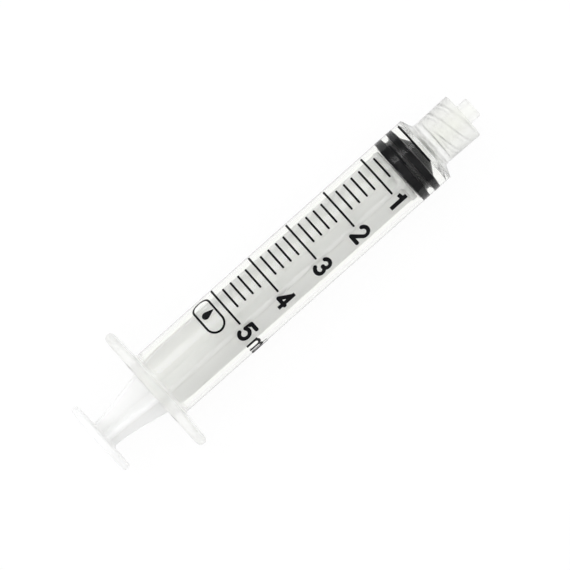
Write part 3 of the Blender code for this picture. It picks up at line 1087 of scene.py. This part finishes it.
    def generic_mark(self) -> list[Mark]:
        """A droplet in a long ring.

        Returns:
            The ring's mark and the droplet's.
        """
        high = self.mark_half_height
        straight = self.mark_half_width - high
        ring = oval((straight, 0), high, high, 90, -90, 24) + oval((-straight, 0), high, high, -90, -270, 24)
        spread = math.degrees(math.acos(self.droplet_radius / self.droplet_tail))
        belly = arc((0, -self.droplet_offset), self.droplet_radius, 90 - spread, spread - 270, 28)
        drop = Filled(((0.0, self.droplet_tail - self.droplet_offset), *belly))
        loop = Stroke(ring, self.mark_stroke, Ends.RING)
        return [
            self.mark("mark_ring", [loop], self.mark_station, self.mark_angle),
            self.mark("mark_droplet", [drop], self.mark_station, self.mark_angle),
        ]

    def flat(self, outlines: Sequence[Sequence[Point]]) -> bpy.types.Mesh:
        """Fills outlines and gives them the ink's thickness.

        Args:
            outlines: Closed outlines.

        Returns:
            A flat closed mesh.
        """
        curve = bpy.data.curves.new("ink", "CURVE")
        curve.dimensions = "2D"
        curve.fill_mode = "BOTH"
        curve.extrude = self.thickness / 2
        for outline in outlines:
            spline = curve.splines.new("POLY")
            spline.points.add(len(outline) - 1)
            for point, (x, y) in zip(spline.points, outline):
                point.co = (x, y, 0.0, 1.0)
            spline.use_cyclic_u = True
        obj = place("ink", curve)
        mesh = applied(obj)
        bpy.data.objects.remove(obj, do_unlink=True)
        return mesh

    def roll(self, mesh: bpy.types.Mesh, mark: Mark) -> None:
        """Rolls a flat mark onto the barrel, bent every few degrees.

        Args:
            mesh: The flat mesh, changed in place.
            mark: Where the mark sits.
        """
        shape = bmesh.new()
        shape.from_mesh(mesh)
        step = self.wrap_step * self.surface
        across = [vertex.co.x for vertex in shape.verts]
        for i in range(math.ceil(min(across) / step), math.floor(max(across) / step) + 1):
            everything = shape.verts[:] + shape.edges[:] + shape.faces[:]
            bmesh.ops.bisect_plane(
                shape, geom=everything, dist=1e-7, plane_co=(i * step, 0, 0), plane_no=(1, 0, 0)
            )
        for vertex in shape.verts:
            x, y, z = vertex.co
            radius = self.surface + self.thickness / 2 + z
            vertex.co = self.axis.point(radius, mark.station + y, mark.angle - x / self.surface)
        bmesh.ops.triangulate(shape, faces=shape.faces)
        shape.to_mesh(mesh)
        shape.free()
        mesh.shade_smooth()
        mesh.set_sharp_from_angle(angle=math.radians(40))

    def build(self) -> list[bpy.types.Object]:
        """Builds every printed mark as a piece of its own.

        Returns:
            The finished pieces.
        """
        pieces = []
        for mark in self.lines() + self.numerals() + self.unit() + self.generic_mark():
            solids = [self.flat(shape.outlines()) for shape in mark.shapes]
            name = f"{mark.node}_ink"
            mesh = joined(name, solids) if len(solids) > 1 else solids[0]
            mesh.name = name
            self.roll(mesh, mark)
            pieces.append(fit(place(name, mesh), Body.BARREL, INK, mark.node))
        return pieces


# ---------------------------------------------------------------- studio


@dataclass
class Studio:
    """A plain pale floor, soft light and the camera straight above the syringe."""

    axis: SyringeAxis
    camera_height: float = 1.2
    camera_station: float = 30.35 * MM
    camera_side: float = -1.44 * MM
    camera_turn: float = math.radians(-41.66)
    field: float = 101.3 * MM
    floor_size: float = 6.0
    floor_drop: float = 0.2 * MM
    floor_colour: float = 0.06
    floor_glow: float = 0.93
    sky_seen: float = 1.22
    sky_horizon: float = 0.65
    sky_zenith: float = 1.5
    key_from: tuple[float, float, float] = (-0.08, 0.42, 0.5)
    key_size: float = 0.28
    key_power: float = 0.7

    def floor(self) -> None:
        """Lays the floor under the syringe."""
        shape = bmesh.new()
        bmesh.ops.create_grid(shape, x_segments=1, y_segments=1, size=self.floor_size / 2)
        mesh = bpy.data.meshes.new("floor")
        shape.to_mesh(mesh)
        shape.free()
        floor = place("floor", mesh)
        floor.location.z = -self.floor_drop
        material = bpy.data.materials.new("floor")
        material.use_nodes = True
        shader = material.node_tree.nodes["Principled BSDF"]
        shader.inputs["Base Color"].default_value = (*[self.floor_colour] * 3, 1.0)
        shader.inputs["Roughness"].default_value = 0.9
        shader.inputs["Specular IOR Level"].default_value = 0.1
        shader.inputs["Emission Color"].default_value = (1.0, 1.0, 1.0, 1.0)
        shader.inputs["Emission Strength"].default_value = self.floor_glow
        mesh.materials.append(material)

    def light(self, name: str, place_from: Vector, size: float, power: float) -> None:
        """Hangs a soft square light that faces the middle of the barrel.

        Args:
            name: The light's name.
            place_from: Its place, measured from the middle of the barrel.
            size: Its side, in metres.
            power: Its power, in watts.
        """
        data = bpy.data.lights.new(name, "AREA")
        data.shape = "SQUARE"
        data.size = size
        data.energy = power
        obj = bpy.data.objects.new(name, data)
        obj.location = self.axis.point(0.0, self.camera_station, 0.0) + place_from
        obj.rotation_euler = place_from.to_track_quat("Z", "Y").to_euler()
        bpy.context.scene.collection.objects.link(obj)

    def world(self) -> None:
        """Gives the studio a soft overhead light that falls off towards the horizon."""
        world = bpy.data.worlds.new("studio")
        world.use_nodes = True
        nodes = world.node_tree.nodes
        link = world.node_tree.links.new
        direction = nodes.new("ShaderNodeTexCoord")
        parts = nodes.new("ShaderNodeSeparateXYZ")
        falloff = nodes.new("ShaderNodeMapRange")
        falloff.inputs["To Min"].default_value = self.sky_horizon
        falloff.inputs["To Max"].default_value = self.sky_zenith
        path = nodes.new("ShaderNodeLightPath")
        strength = nodes.new("ShaderNodeMix")
        strength.inputs["B"].default_value = self.sky_seen
        background = nodes["Background"]
        background.inputs["Color"].default_value = (1.0, 1.0, 1.0, 1.0)
        link(direction.outputs["Generated"], parts.inputs["Vector"])
        link(parts.outputs["Z"], falloff.inputs["Value"])
        link(path.outputs["Is Camera Ray"], strength.inputs["Factor"])
        link(falloff.outputs["Result"], strength.inputs["A"])
        link(strength.outputs["Result"], background.inputs["Strength"])
        world.cycles_visibility.glossy = False
        bpy.context.scene.world = world

    def camera(self) -> None:
        """Hangs the camera over the syringe, turned so that the nozzle points up and to the right."""
        data = bpy.data.cameras.new("camera")
        data.sensor_width = 36.0
        data.lens = data.sensor_width * self.camera_height / self.field
        data.clip_start = 0.01
        obj = bpy.data.objects.new("camera", data)
        obj.location = self.axis.point(0.0, self.camera_station, 0.0)
        obj.location += Vector((0.0, self.camera_side, self.camera_height))
        obj.rotation_euler = (0.0, 0.0, self.camera_turn)
        bpy.context.scene.collection.objects.link(obj)
        bpy.context.scene.camera = obj

    def build(self) -> None:
        """Sets up the whole studio."""
        self.camera()
        self.floor()
        self.world()
        self.light("key", Vector(self.key_from), self.key_size, self.key_power)
        bpy.context.scene.view_settings.view_transform = "Standard"


# ---------------------------------------------------------------- main


def main() -> None:
    """Builds the studio and every piece in order."""
    logging.basicConfig(level=logging.INFO, format="%(name)s: %(message)s")
    axis = SyringeAxis.from_frame()
    Studio(axis).build()
    Barrel(axis).build()
    PlungerRod(axis).build()
    Stopper(axis).build()
    Print(axis).build()


if __name__ == "__main__":
    main()
